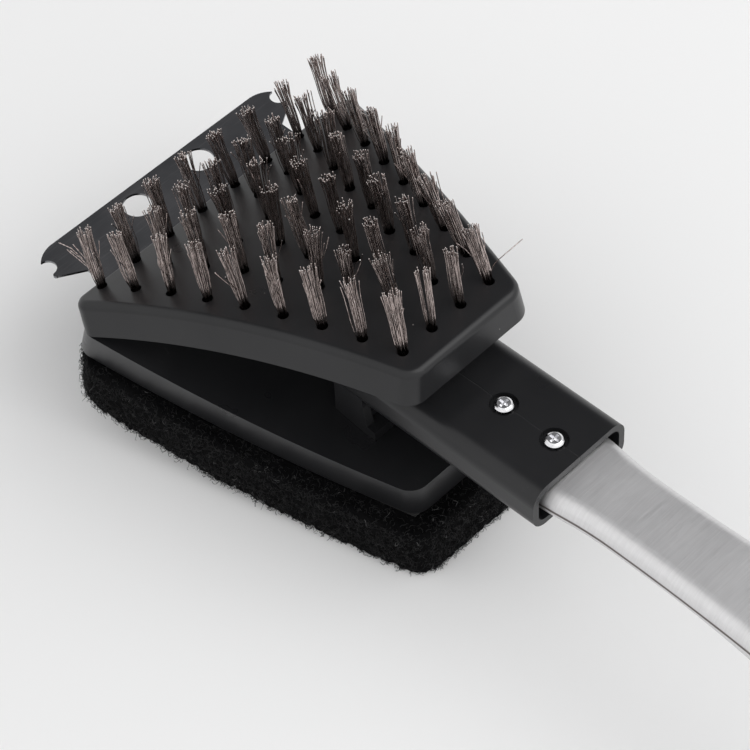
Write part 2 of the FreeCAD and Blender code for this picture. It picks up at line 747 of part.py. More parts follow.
def add_foot(doc, size):
    """Foot of the socket between the blocks: a column with a flange on each gap face."""
    body = add_body(doc, "foot")
    side = add_sketch(body, "foot_side", "XZ_Plane")
    front, back = size.foot_front, size.foot_back
    column = front + size.foot_column
    flange = size.foot_flange
    middle = (front + back) / 2
    sunk = flange / 8
    root = column - 2 * sunk

    def face(x, inset, up):
        return Vector(x, up * (gap_height(size, x) - inset), 0)

    draw_loop(side, [
        face(front, 0, -1), face(front, 0, 1), (face(middle, 0, 1), face(back, 0, 1)),
        face(back, flange, 1), (face((back + column) / 2, flange, 1), face(column, flange, 1)),
        face(column, flange, -1),
        (face((back + column) / 2, flange, -1), face(back, flange, -1)),
        face(back, 0, -1), (face(middle, 0, -1), face(front, 0, -1))])
    extrude(body, "Pad", side, "foot_pad", "2 * sizes.foot_half", "Symmetric")
    for name, up in (("foot_gusset_low", -1), ("foot_gusset_high", 1)):
        for hand in (-1, 1):
            web = add_sketch(body, name, "XZ_Plane", hand * (size.foot_half - size.gusset / 2))
            draw_loop(web, [face(root, flange - sunk, up), face(back - size.gusset, flange - sunk, up),
                            Vector(root, up * flange, 0)])
            extrude(body, "Pad", web, f"{name}_pad", "sizes.gusset", "Symmetric")
    return body


def add_handle_socket(doc, size):
    frame = handle_frame(size)
    sleeve = add_sleeve(doc, size)
    sleeve.Placement = frame
    ribs = add_ceiling_ribs(doc, size)
    for rib in ribs:
        rib.Placement = frame.multiply(rib.Placement)
    solid = add_fuse(doc, "socket_solid", [sleeve, add_foot(doc, size)] + ribs)
    holes = []
    for spot in handle_screw_places(size):
        recess = frame.multiply(Placement(spot, Rotation()))
        holes.append(add_cylinder(doc, "screw_seat", "sizes.head_recess / 2", "sizes.head_recess", recess))
        way = frame.multiply(Placement(Vector(spot.x, 0, 0), Rotation()))
        holes.append(add_cylinder(doc, "screw_way", "sizes.screw_fit / 2", "sizes.socket_above", way))
    holes += [add_cylinder(doc, "clamp_way", "sizes.screw_fit / 2", "2 * sizes.nose_half",
                           Placement(spot - Vector(0, 0, size.nose_half), Rotation()))
              for spot in clamp_screw_places(size)]
    socket = add_cut(doc, "handle_socket", solid, add_compound(doc, "socket_holes", holes))
    socket.Placement = head_place(size)
    return socket


# ---------------------------------------------------------------- handle

def bend(start, end):
    """Two equal arcs that leave the start and reach the end along X, as loop steps."""
    middle = (start + end) / 2
    run, drop = (end.x - start.x) / 2, (end.y - start.y) / 2
    radius = (run ** 2 + drop ** 2) / (2 * abs(drop))
    sag = math.copysign(radius - math.sqrt(radius ** 2 - (run / 2) ** 2), drop)
    return [(Vector(start.x + run / 2, start.y + sag, 0), middle),
            (Vector(end.x - run / 2, end.y - sag, 0), end)]


def handle_plan(size, inset, end_inset):
    """Plan of the handle: straight in the socket, waisted, wider at the grip, round at the tip."""
    root = Vector(size.root_place, size.handle_root / 2 - inset, 0)
    waist = Vector(size.waist_place, size.handle_waist / 2 - inset, 0)
    grip = Vector(size.grip_place, size.handle_grip / 2 - inset, 0)
    tip = size.handle_length - inset
    centre = tip - grip.y
    slant = grip.y * math.sqrt(0.5)
    side = [Vector(end_inset - size.handle_inside, root.y, 0), root] + bend(root, waist)
    side += bend(waist, grip)
    side += [Vector(centre, grip.y, 0), (Vector(centre + slant, slant, 0), Vector(tip, 0, 0))]
    return mirror_path(side)


def handle_underside(size, low):
    """Side outline of everything below the handle: level, deeper along the grip, level again."""
    deep = low - size.handle_belly
    first = Vector(size.belly_start, low, 0)
    full = Vector(size.belly_full, deep, 0)
    fade = Vector(size.belly_fade, deep, 0)
    last = Vector(size.belly_end, low, 0)
    behind = -2 * size.handle_inside
    beyond = 2 * size.handle_length
    path = [Vector(behind, 2 * deep - low, 0), Vector(behind, low, 0), first] + bend(first, full)
    path += [fade] + bend(fade, last)
    return path + [Vector(beyond, low, 0), Vector(beyond, 2 * deep - low, 0)]


def add_handle_form(doc, name, size, inset, end_inset):
    """Crowned bar cut to the handle's plan and underside; the inset shrinks it evenly."""
    body = add_body(doc, name)
    high = size.handle_thick / 2 - inset
    low = -high
    half = size.handle_grip
    shoulder = high - size.handle_crown
    floor = low - 1.5 * size.handle_belly
    section = add_sketch(body, f"{name}_section", "YZ_Plane", -1.5 * size.handle_inside)
    draw_loop(section, [Vector(-half, floor, 0), Vector(half, floor, 0), Vector(half, shoulder, 0),
                        (Vector(0, high, 0), Vector(-half, shoulder, 0))])
    extrude(body, "Pad", section, f"{name}_bar", "sizes.handle_length + 2 * sizes.handle_inside")
    under = add_sketch(body, f"{name}_under", "XZ_Plane")
    draw_loop(under, handle_underside(size, low))
    extrude(body, "Pocket", under, f"{name}_belly", "4 * sizes.handle_grip", "Symmetric")
    plan = add_sketch(body, f"{name}_plan", "XY_Plane")
    draw_loop(plan, rectangle(-2 * size.handle_inside, -3 * half,
                              2 * size.handle_length, 3 * half))
    draw_loop(plan, handle_plan(size, inset, end_inset))
    extrude(body, "Pocket", plan, f"{name}_trim", "4 * sizes.handle_thick", "Symmetric")
    return body


def long_rim(edge, size, upper):
    """True for the edges around the upper or lower face of a handle form, but not its open end."""
    middle = edge.valueAt((edge.FirstParameter + edge.LastParameter) / 2)
    ends = [vertex.Point for vertex in edge.Vertexes]
    level = abs(ends[0].z - ends[-1].z) < size.handle_thick / 2
    at_start = all(point.x < 2 * size.root_place for point in ends)
    along = abs(ends[0].x - ends[-1].x) > size.sheet
    return level and (along or not at_start) and (middle.z > 0) == upper


def add_handle_envelope(doc, name, size, inset, end_inset):
    """The whole handle's outer skin, or its inner cavity when inset by the sheet thickness."""
    body = add_handle_form(doc, name, size, inset, end_inset)
    radius = "handle_round" if inset == 0 else "core_round"
    round_edges(body, f"{name}_upper_rim", radius, lambda e: long_rim(e, size, True))
    round_edges(body, f"{name}_lower_rim", radius, lambda e: long_rim(e, size, False))
    return body


def add_half_space(doc, name, size, low, high):
    """Box over the whole handle between two heights."""
    box = doc.addObject("Part::Box", name)
    box.setExpression("Length", "sizes.handle_length + 2 * sizes.handle_inside")
    box.setExpression("Width", "4 * sizes.handle_grip")
    box.Height = high - low
    corner = Vector(-1.5 * size.handle_inside, -2 * size.handle_grip, low)
    box.Placement = Placement(corner, Rotation())
    return box


def add_handle_shells(doc, size):
    """Top and bottom pressed shells, which meet along a seam below the axis."""
    tall = size.handle_thick
    seam = -size.seam_drop
    eyelet_x = size.handle_length - size.eyelet_setback
    eyelet = "sizes.eyelet_bore / 2 + sizes.eyelet_wall"
    shells = []
    for name, low, high in (("handle_top_shell", seam, tall), ("handle_bottom_shell", -tall, seam)):
        skin = add_handle_envelope(doc, f"{name}_skin", size, 0.0, 0.0)
        core = add_handle_envelope(doc, f"{name}_core", size, size.sheet, -size.sheet)
        keep = add_half_space(doc, f"{name}_side", size, low, high)
        half = add_common(doc, f"{name}_half", skin, keep)
        ways = [add_cylinder(doc, f"{name}_way", "sizes.screw_fit / 2", "sizes.handle_thick",
                             Placement(Vector(spot.x, 0, 0), Rotation()))
                for spot in handle_screw_places(size)]
        ways.append(add_cylinder(doc, f"{name}_eye", eyelet, "4 * sizes.handle_thick",
                                 Placement(Vector(eyelet_x, 0, -2 * tall), Rotation())))
        hollow = add_cut(doc, f"{name}_hollow", half, core)
        shell = add_cut(doc, name, hollow, add_compound(doc, f"{name}_ways", ways))
        shell.Placement = head_place(size).multiply(handle_frame(size))
        shells.append(shell)
    return shells


def add_handle_plug(doc, size):
    """Solid plug in the handle's end, which the two handle screws bite into."""
    core = add_handle_envelope(doc, "plug_form", size, size.sheet + size.plug_play, size.sheet)
    keep = doc.addObject("Part::Box", "plug_length")
    keep.setExpression("Length", "sizes.handle_inside")
    keep.setExpression("Width", "2 * sizes.handle_grip")
    keep.setExpression("Height", "2 * sizes.handle_thick")
    keep.Placement = Placement(
        Vector(-size.handle_inside, -size.handle_grip, -size.handle_thick), Rotation())
    solid = add_common(doc, "plug_solid", core, keep)
    pilots = [add_cylinder(doc, "plug_pilot", "sizes.screw_shank / 2", "sizes.screw_reach",
                           Placement(spot - Vector(0, 0, size.screw_reach), Rotation()))
              for spot in handle_screw_places(size)]
    plug = add_cut(doc, "handle_plug", solid, add_compound(doc, "plug_pilots", pilots))
    plug.Placement = head_place(size).multiply(handle_frame(size))
    return plug


def add_hang_eyelet(doc, size):
    """Steel eyelet through both shells: a tube with a rolled flange at each face."""
    body = add_body(doc, "hang_eyelet")
    bore = size.eyelet_bore / 2
    tube = bore + size.eyelet_wall
    flange = tube + size.eyelet_flange
    seat = size.handle_thick / 2
    face = seat + size.eyelet_wall
    mouth = size.eyelet_mouth
    sag = mouth * (1 - math.sqrt(0.5))
    half = add_sketch(body, "eyelet_half", "XZ_Plane")
    draw_loop(half, [
        Vector(bore, mouth - face, 0),
        (Vector(bore + sag, sag - face, 0), Vector(bore + mouth, -face, 0)),
        Vector(flange, -face, 0), Vector(flange, -seat, 0), Vector(tube, -seat, 0),
        Vector(tube, seat, 0), Vector(flange, seat, 0), Vector(flange, face, 0),
        Vector(bore + mouth, face, 0),
        (Vector(bore + sag, face - sag, 0), Vector(bore, face - mouth, 0))])
    lathe(body, half, "eyelet_lathe")
    spot = Placement(Vector(size.handle_length - size.eyelet_setback, 0, 0), Rotation())
    body.Placement = head_place(size).multiply(handle_frame(size)).multiply(spot)
    return body


# ---------------------------------------------------------------- build and write

def build(doc):
    size = read_sizes(make_sheet(doc))
    rows = tuft_places(size)
    head = head_place(size)
    parts = [add_brush_block(doc, size, rows)]
    upper = head.multiply(upper_frame(size))
    for row, places in enumerate(rows, start=1):
        tufts = add_tuft_row(doc, size, row, places)
        tufts.Placement = upper
        parts.append(tufts)
    anchors = add_tuft_anchors(doc, size, rows)
    anchors.Placement = upper
    parts.append(anchors)
    parts.append(add_pad_holder(doc, size))
    parts.append(add_pad_bond(doc, size))
    parts.append(add_scouring_pad(doc, size))
    parts.append(add_scraper_blade(doc, size))
    parts.append(add_nose_screws(doc, size))
    parts.append(add_clamp_screws(doc, size))
    parts.append(add_handle_socket(doc, size))
    parts += add_handle_shells(doc, size)
    parts.append(add_handle_plug(doc, size))
    parts.append(add_handle_screws(doc, size))
    parts.append(add_hang_eyelet(doc, size))
    return parts


def check(doc, parts):
    """Stop if any object failed or any part is null, invalid or without a solid."""
    doc.recompute()
    for item in doc.Objects:
        bad = {"Invalid", "Error"} & set(item.State)
        if bad:
            raise RuntimeError(f"{item.Label}: {', '.join(bad)}")
    for part in parts:
        if part.Shape.isNull() or not part.Shape.isValid() or not part.Shape.Solids:
            raise RuntimeError(f"{part.Label}: bad shape")


def main():
    doc = FreeCAD.newDocument("grill_brush")
    parts = build(doc)
    check(doc, parts)
    os.makedirs("parts", exist_ok=True)
    for part in parts:
        part.Shape.exportStep(f"parts/{part.Label}.step")
        box = part.Shape.BoundBox
        print(f"{part.Label}: {len(part.Shape.Solids)} solid, {part.Shape.Volume / 1000:.2f} cm3,"
              f" x {box.XMin:.1f}..{box.XMax:.1f} y {box.YMin:.1f}..{box.YMax:.1f}"
              f" z {box.ZMin:.1f}..{box.ZMax:.1f}")


main()
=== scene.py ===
import json
import math

import bmesh
import bpy
import numpy as np
from mathutils import Matrix, Vector


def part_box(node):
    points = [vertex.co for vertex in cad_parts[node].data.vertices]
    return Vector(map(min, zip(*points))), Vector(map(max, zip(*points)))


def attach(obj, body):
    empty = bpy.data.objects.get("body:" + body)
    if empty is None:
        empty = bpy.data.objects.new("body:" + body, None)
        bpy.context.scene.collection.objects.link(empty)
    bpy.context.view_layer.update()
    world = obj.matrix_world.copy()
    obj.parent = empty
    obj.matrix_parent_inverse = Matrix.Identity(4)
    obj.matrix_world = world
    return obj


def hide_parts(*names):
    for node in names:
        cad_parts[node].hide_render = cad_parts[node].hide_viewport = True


# Grill cleaning brush. The CAD frame carries every hard part; this script gives the parts their
# materials, stands loose wires in place of the tufts and a fibrous pad in place of the plain one,
# and sets a pale studio around them. Everything is in metres.

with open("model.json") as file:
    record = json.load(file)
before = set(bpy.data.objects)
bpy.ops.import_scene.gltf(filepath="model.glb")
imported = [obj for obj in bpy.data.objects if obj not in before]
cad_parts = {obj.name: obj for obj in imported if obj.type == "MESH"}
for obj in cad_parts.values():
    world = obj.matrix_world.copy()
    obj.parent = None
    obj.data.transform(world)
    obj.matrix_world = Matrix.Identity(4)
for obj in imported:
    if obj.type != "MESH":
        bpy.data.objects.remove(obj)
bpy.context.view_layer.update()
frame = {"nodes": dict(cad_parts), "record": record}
NODES = frame["nodes"]
SEED = 20417

MM = 0.001


# ---------------------------------------------------------------- small helpers

def unit(vector):
    return vector / np.linalg.norm(vector)


def loose_parts(name):
    """Vertex positions of each separate solid in a CAD node."""
    work = bmesh.new()
    work.from_mesh(NODES[name].data)
    bmesh.ops.remove_doubles(work, verts=work.verts, dist=1e-6)
    seen = set()
    parts = []
    for start in work.verts:
        if start in seen:
            continue
        seen.add(start)
        group = [start]
        for vert in group:
            for edge in vert.link_edges:
                other = edge.other_vert(vert)
                if other not in seen:
                    seen.add(other)
                    group.append(other)
        parts.append(np.array([vert.co[:] for vert in group]))
    work.free()
    return parts


def mesh_object(name, points, faces, material):
    """A smooth-shaded object from points and faces, with one material."""
    mesh = bpy.data.meshes.new(name)
    mesh.from_pydata([tuple(p) for p in points], [], faces)
    mesh.validate()
    mesh.polygons.foreach_set("use_smooth", [True] * len(mesh.polygons))
    mesh.materials.append(material)
    made = bpy.data.objects.new(name, mesh)
    bpy.context.scene.collection.objects.link(made)
    return made


def tube(path, radii, sides):
    """Points and faces of a thin closed tube along a path."""
    count = len(path)
    steps = np.gradient(path, axis=0)
    steps /= np.linalg.norm(steps, axis=1)[:, None]
    helper = np.array([0.0, 0.0, 1.0]) if abs(steps[0][2]) < 0.9 else np.array([1.0, 0.0, 0.0])
    across = np.cross(steps, helper)
    across /= np.linalg.norm(across, axis=1)[:, None]
    other = np.cross(steps, across)
    angles = np.arange(sides) * 2 * math.pi / sides
    rings = (path[:, None, :]
             + radii[:, None, None] * (np.cos(angles)[None, :, None] * across[:, None, :]
                                       + np.sin(angles)[None, :, None] * other[:, None, :]))
    faces = []
    for ring in range(count - 1):
        for side in range(sides):
            after = (side + 1) % sides
            low, high = ring * sides, (ring + 1) * sides
            faces.append((low + side, low + after, high + after, high + side))
    faces.append(tuple(range(sides))[::-1])
    faces.append(tuple((count - 1) * sides + side for side in range(sides)))
    return rings.reshape(-1, 3), faces


def join_tubes(tubes):
    """One set of points and faces from many tubes."""
    points = []
    faces = []
    base = 0
    for tube_points, tube_faces in tubes:
        points.append(tube_points)
        faces.extend(tuple(base + index for index in face) for face in tube_faces)
        base += len(tube_points)
    return np.vstack(points), faces


# ---------------------------------------------------------------- material helpers

# Places of the colour sockets on a Mix node, which has sockets of the same name for each data type.
MIX_COLOUR_A = 6
MIX_COLOUR_B = 7
MIX_COLOUR_RESULT = 2


class Shader:
    """A material under construction, around one Principled shader."""

    def __init__(self, name):
        self.material = bpy.data.materials.new(name)
        self.material.use_nodes = True
        self.tree = self.material.node_tree
        self.main = self.tree.nodes["Principled BSDF"]
        self.place = self.tree.nodes.new("ShaderNodeTexCoord").outputs["Object"]

    def set(self, **values):
        for name, value in values.items():
            self.main.inputs[name.replace("_", " ")].default_value = value

    def node(self, kind, **values):
        made = self.tree.nodes.new(kind)
        for name, value in values.items():
            setattr(made, name, value)
        return made

    def link(self, source, target):
        self.tree.links.new(source, target)

    def stretch(self, scale, turn=(0.0, 0.0, 0.0)):
        """Object coordinates, scaled on each axis and turned."""
        mapping = self.node("ShaderNodeMapping")
        mapping.inputs["Scale"].default_value = scale
        mapping.inputs["Rotation"].default_value = turn
        self.link(self.place, mapping.inputs["Vector"])
        return mapping.outputs["Vector"]

    def noise(self, scale, detail=2.0, rough=0.5, place=None):
        made = self.node("ShaderNodeTexNoise")
        made.inputs["Scale"].default_value = scale
        made.inputs["Detail"].default_value = detail
        made.inputs["Roughness"].default_value = rough
        self.link(self.place if place is None else place, made.inputs["Vector"])
        return made.outputs["Fac"]

    def cells(self, scale):
        """Distance to the nearest of many scattered points, in cell widths."""
        made = self.node("ShaderNodeTexVoronoi")
        made.inputs["Scale"].default_value = scale
        self.link(self.place, made.inputs["Vector"])
        return made.outputs["Distance"]

    def remap(self, value, low, high, new_low=0.0, new_high=1.0):
        """Carry the range low to high over to the range new_low to new_high, and clamp there."""
        made = self.node("ShaderNodeMapRange")
        made.inputs["From Min"].default_value = low
        made.inputs["From Max"].default_value = high
        made.inputs["To Min"].default_value = new_low
        made.inputs["To Max"].default_value = new_high
        self.link(value, made.inputs["Value"])
        return made.outputs["Result"]

    def math(self, kind, first, second=None):
        made = self.node("ShaderNodeMath", operation=kind)
        for index, value in enumerate((first, second)):
            if value is None:
                continue
            if isinstance(value, (int, float)):
                made.inputs[index].default_value = value
            else:
                self.link(value, made.inputs[index])
        return made.outputs["Value"]

    def blend(self, share, first, second):
        """First colour where the share is zero, second where it is one."""
        made = self.node("ShaderNodeMix", data_type="RGBA")
        self.link(share, made.inputs["Factor"])
        for place, value in ((MIX_COLOUR_A, first), (MIX_COLOUR_B, second)):
            if isinstance(value, tuple):
                made.inputs[place].default_value = (*value, 1.0)
            else:
                self.link(value, made.inputs[place])
        return made.outputs[MIX_COLOUR_RESULT]

    def bump(self, height, strength, distance, base=None):
        made = self.node("ShaderNodeBump")
        made.inputs["Strength"].default_value = strength
        made.inputs["Distance"].default_value = distance
        self.link(height, made.inputs["Height"])
        if base is not None:
            self.link(base, made.inputs["Normal"])
        return made.outputs["Normal"]

    def colour(self, source):
        self.link(source, self.main.inputs["Base Color"])

    def roughness(self, source):
        self.link(source, self.main.inputs["Roughness"])

    def normal(self, source):
        self.link(source, self.main.inputs["Normal"])


# ---------------------------------------------------------------- materials

# Colours are linear and come in pairs: the darker and the lighter end of a finish.
PLASTIC_COLOURS = ((0.0100, 0.0101, 0.0112), (0.0140, 0.0141, 0.0153))
DUST_COLOUR = (0.42, 0.40, 0.38)
HANDLE_COLOURS = ((0.66, 0.655, 0.66), (0.77, 0.765, 0.77))
SCRATCH_COLOUR = (0.95, 0.945, 0.94)
SEAM_COLOUR = (0.14, 0.118, 0.114)
BLADE_COLOURS = ((0.22, 0.225, 0.235), (0.29, 0.29, 0.30))
BLADE_GRAIN_COLOUR = (0.62, 0.62, 0.63)
SCREW_COLOURS = ((0.70, 0.70, 0.72), (0.90, 0.90, 0.91))
# The wires' lighter stretches are painted highlight streaks on a random tone.
WIRE_TONE_AND_HIGHLIGHT_COLOURS = ((0.17, 0.14, 0.132), (0.68, 0.585, 0.555))
# The cut ends' brighter colour is a painted glint.
TIP_GLINT_COLOURS = ((0.62, 0.60, 0.58), (0.92, 0.90, 0.88))
# The pad core is coloured darker than its fibres: painted shade in the gaps between them.
PAD_CORE_PAINTED_SHADE_COLOURS = ((0.0012, 0.0012, 0.0014), (0.0040, 0.0040, 0.0044))
PAD_CLOUD_COLOUR = (0.0060, 0.0060, 0.0064)
DARK_FIBRE_COLOURS = ((0.0034, 0.0034, 0.0038), (0.024, 0.024, 0.0247))
# The lighter fibre colours are painted glints, not a colour of the fibre.
PAINTED_GLINT_FIBRE_COLOURS = ((0.04, 0.04, 0.04), (0.16, 0.16, 0.16))
NYLON_COLOUR = (0.55, 0.53, 0.48)
BOND_COLOUR = (0.03, 0.03, 0.03)
ANCHOR_COLOUR = (0.4, 0.4, 0.4)
FLOOR_COLOURS = ((0.88, 0.88, 0.88), (0.90, 0.90, 0.90))

# Roughness pairs belong to the low and the high end of the noise that varies them.
PLASTIC_ROUGHNESS = (0.27, 0.34)
HANDLE_ROUGHNESS = (0.43, 0.52)
BLADE_ROUGHNESS = (0.14, 0.22)
SCREW_ROUGHNESS = (0.10, 0.24)
WIRE_ROUGHNESS = (0.22, 0.13)
TIP_ROUGHNESS = (0.20, 0.36)
PAD_CORE_ROUGHNESS = (0.75, 0.95)
FIBRE_ROUGHNESS = (0.38, 0.6)
PLAIN_ROUGHNESS_STEP = 0.1
PLAIN_SHADE = 0.8                 # the darker end of a plain finish, as a share of its colour

# Noise values gather around a half. These are the ranges that hold nearly all and most of them.
WIDE = (0.3, 0.7)
NARROW = (0.35, 0.65)

# A scale is the number of cells or noise features for each metre. The grains and the stretch
# multiply the scale on each axis. An edge is the range over which a mark fades.
SPECK_SCALE = 75.0
SPECK_EDGE = (0.010, 0.020)
LINT_SCALE = 210.0
LINT_EDGE = (0.030, 0.055)
SPARK_SCALE = 2600.0
SCUFF_STRETCH = (10.0, 70.0, 40.0)
SCUFF_TURN = (0.3, 0.2, 0.7)
FINE_GRAIN = (5200.0, 130.0, 400.0)
COARSE_GRAIN = (1500.0, 55.0, 120.0)
SCRATCH_GRAIN = (2600.0, 42.0, 60.0)
GRAIN_TURN = (0.0, 0.0, math.radians(4.0))
SCRATCH_TURN = (0.0, 0.0, math.radians(9.0))
BLADE_GRAIN = (1700.0, 60.0, 300.0)
# Stretched along the wires, so the painted highlight streaks run lengthwise.
WIRE_STREAK_STRETCH = (1500.0, 1500.0, 90.0)

KNIT_WANDER = 0.9 * MM
KNIT_EDGE = (0.05 * MM, 0.30 * MM)
KNIT_DEPTH = 0.12 * MM
SEAM_WIDTH = 0.8 * MM             # half of the dark line where the two handle shells meet
SEAM_CORE = 0.3 * SEAM_WIDTH      # how far from its middle the line stays fully dark
SEAM_DEPTH = 0.4 * MM


def plastic_material(name, extra_bump=None):
    """Dark moulded plastic: fine spark texture, faint flow marks, dust and a few scuffs."""
    s = Shader(name)
    s.set(Metallic=0.0, Specular_IOR_Level=0.36)
    cloud = s.noise(38.0, 3.0)
    speck = s.remap(s.cells(SPECK_SCALE), *SPECK_EDGE, 1.0, 0.0)
    lint = s.remap(s.cells(LINT_SCALE), *LINT_EDGE, 0.5, 0.0)
    scuff_lines = s.noise(9.0, 5.0, 0.7, s.stretch(SCUFF_STRETCH, SCUFF_TURN))
    scuff = s.math("MULTIPLY", s.remap(scuff_lines, 0.66, 0.74), s.remap(cloud, 0.5, 0.62))
    base = s.blend(s.remap(cloud, *WIDE), *PLASTIC_COLOURS)
    marks = s.math("MAXIMUM", s.math("MULTIPLY", speck, 0.55), s.math("MULTIPLY", scuff, 0.09))
    marks = s.math("MAXIMUM", marks, s.math("MULTIPLY", lint, s.remap(cloud, 0.55, 0.7, 0.0, 0.12)))
    s.colour(s.blend(marks, base, DUST_COLOUR))
    grain = s.noise(SPARK_SCALE, 2.0)
    s.roughness(s.math("ADD", s.remap(cloud, *WIDE, *PLASTIC_ROUGHNESS), s.math("MULTIPLY", scuff, 0.12)))
    normal = s.bump(grain, 0.22, 0.06 * MM)
    normal = s.bump(s.noise(55.0, 2.0), 0.25, 0.35 * MM, normal)
    if extra_bump is not None:
        normal = extra_bump(s, normal)
    s.normal(normal)
    return s.material


def knit_line(s, normal):
    """The weld line that the flow fronts leave along the socket's top, past both screws."""
    split = s.node("ShaderNodeSeparateXYZ")
    s.link(s.place, split.inputs["Vector"])
    wander = s.math("MULTIPLY", s.math("SUBTRACT", s.noise(120.0, 2.0), 0.5), KNIT_WANDER)
    across = s.math("ABSOLUTE", s.math("ADD", split.outputs["Y"], wander))
    groove = s.remap(across, *KNIT_EDGE)
    return s.bump(groove, 0.55, KNIT_DEPTH, normal)


def seam_share(s):
    """One along the joint between the two handle shells, zero away from it.

    The hang hole runs square through the handle, so its axis is the handle's own upward direction,
    and the joint is where the top shell reaches lowest along it.
    """
    up = Vector(frame["record"]["mounts"][0]["axis"])
    shell = NODES["handle_top_shell"].data
    level = min(vertex.co.dot(up) for vertex in shell.vertices)
    height = s.node("ShaderNodeVectorMath", operation="DOT_PRODUCT")
    height.inputs[1].default_value = up
    s.link(s.place, height.inputs[0])
    away = s.math("ABSOLUTE", s.math("SUBTRACT", height.outputs["Value"], level))
    return s.remap(away, SEAM_CORE, SEAM_WIDTH, 1.0, 0.0)


def handle_material():
    """Stainless sheet brushed across the handle, with single deeper scratches and a dark seam."""
    s = Shader("handle_steel")
    s.set(Metallic=1.0)
    seam = seam_share(s)
    fine = s.noise(1.0, 3.0, 0.65, s.stretch(FINE_GRAIN, GRAIN_TURN))
    coarse = s.noise(1.0, 2.0, 0.6, s.stretch(COARSE_GRAIN, GRAIN_TURN))
    deep = s.noise(1.0, 2.0, 0.5, s.stretch(SCRATCH_GRAIN, SCRATCH_TURN))
    scratch = s.remap(deep, 0.72, 0.80)
    cloud = s.noise(30.0, 3.0)
    tone = s.math("ADD", s.remap(fine, *WIDE, 0.0, 0.55), s.remap(coarse, *WIDE, 0.0, 0.45))
    base = s.blend(tone, *HANDLE_COLOURS)
    steel = s.blend(scratch, base, SCRATCH_COLOUR)
    s.colour(s.blend(seam, steel, SEAM_COLOUR))
    rough = s.math("ADD", s.remap(fine, *WIDE, *HANDLE_ROUGHNESS), s.remap(cloud, *WIDE, -0.03, 0.04))
    s.roughness(rough)
    normal = s.bump(fine, 0.9, 0.06 * MM)
    normal = s.bump(coarse, 0.07, 0.06 * MM, normal)
    normal = s.bump(scratch, 0.3, 0.04 * MM, normal)
    s.normal(s.bump(s.math("SUBTRACT", 1.0, seam), 0.8, SEAM_DEPTH, normal))
    return s.material


def blade_material():
    """Stamped stainless sheet: rolled grain along the edge, faint stains."""
    s = Shader("blade_steel")
    s.set(Metallic=1.0)
    grain = s.noise(1.0, 3.0, 0.6, s.stretch(BLADE_GRAIN))
    cloud = s.noise(60.0, 3.0)
    base = s.blend(s.remap(cloud, *NARROW), *BLADE_COLOURS)
    s.colour(s.blend(s.remap(grain, 0.55, 0.75, 0.0, 0.35), base, BLADE_GRAIN_COLOUR))
    s.roughness(s.remap(cloud, *WIDE, *BLADE_ROUGHNESS))
    s.normal(s.bump(grain, 0.2, 0.04 * MM))
    return s.material


def screw_material():
    """Bright plated steel with a slightly uneven, cloudy finish."""
    s = Shader("bright_screw")
    s.set(Metallic=1.0)
    cloud = s.noise(900.0, 3.0)
    s.colour(s.blend(s.remap(cloud, 0.4, 0.6), *SCREW_COLOURS))
    s.roughness(s.remap(cloud, *WIDE, *SCREW_ROUGHNESS))
    s.normal(s.bump(s.noise(700.0, 2.0), 0.3, 0.08 * MM))
    return s.material


def wire_material():
    """Drawn stainless wire: warm grey, in lighter and darker stretches along each wire, a random tone
    whose lighter stretches are painted highlight streaks.
    """
    s = Shader("bristle_wire")
    s.set(Metallic=1.0)
    tint = s.noise(1.0, 2.0, 0.5, s.stretch(WIRE_STREAK_STRETCH))
    # Lighter stretches along the wires: painted highlight streaks.
    s.colour(s.blend(s.remap(tint, *WIDE), *WIRE_TONE_AND_HIGHLIGHT_COLOURS))
    s.roughness(s.remap(tint, *WIDE, *WIRE_ROUGHNESS))
    return s.material


def tip_glint_material():
    """Cut wire ends, coloured brighter than the drawn sides: a painted glint."""
    s = Shader("bristle_cut_glint")
    s.set(Metallic=1.0)
    tint = s.noise(900.0, 1.0)
    s.colour(s.blend(s.remap(tint, *NARROW), *TIP_GLINT_COLOURS))
    s.roughness(s.remap(tint, *WIDE, *TIP_ROUGHNESS))
    return s.material


def pad_core_painted_shade_material():
    """The tangle behind the loose fibres, coloured darker than the fibres themselves as painted shade in
    the gaps between them.
    """
    s = Shader("pad_core_painted_shade")
    s.set(Metallic=0.0, Specular_IOR_Level=0.05)
    tangle = s.noise(900.0, 4.0, 0.7)
    cloud = s.noise(70.0, 3.0)
    dark = s.blend(s.remap(tangle, *NARROW), *PAD_CORE_PAINTED_SHADE_COLOURS)
    s.colour(s.blend(s.remap(cloud, 0.45, 0.75, 0.0, 0.5), dark, PAD_CLOUD_COLOUR))
    s.roughness(s.remap(tangle, *WIDE, *PAD_CORE_ROUGHNESS))
    s.normal(s.bump(tangle, 0.9, 0.5 * MM))
    return s.material


def pad_fibre_material(name, low, high):
    """Resin-coated nylon fibre with a slight gloss."""
    s = Shader(name)
    s.set(Metallic=0.0, Specular_IOR_Level=0.2)
    tint = s.noise(500.0, 2.0)
    s.colour(s.blend(s.remap(tint, *NARROW), low, high))
    s.roughness(s.remap(tint, *WIDE, *FIBRE_ROUGHNESS))
    return s.material


def plain_material(name, base, metallic, rough):
    """A quiet finish for the small parts that sit inside."""
    s = Shader(name)
    s.set(Metallic=metallic)
    cloud = s.noise(300.0, 3.0)
    darker = tuple(channel * PLAIN_SHADE for channel in base)
    s.colour(s.blend(s.remap(cloud, *NARROW), darker, base))
    s.roughness(s.remap(cloud, *WIDE, rough, rough + PLAIN_ROUGHNESS_STEP))
    s.normal(s.bump(s.noise(1500.0, 2.0), 0.15, 0.04 * MM))
    return s.material


def dress(name, material):
    """Give a CAD node its material without touching its mesh."""
    node = NODES[name]
    if not node.data.materials:
        node.data.materials.append(material)
    for slot in range(len(node.material_slots)):
        node.material_slots[slot].link = "OBJECT"
        node.material_slots[slot].material = material


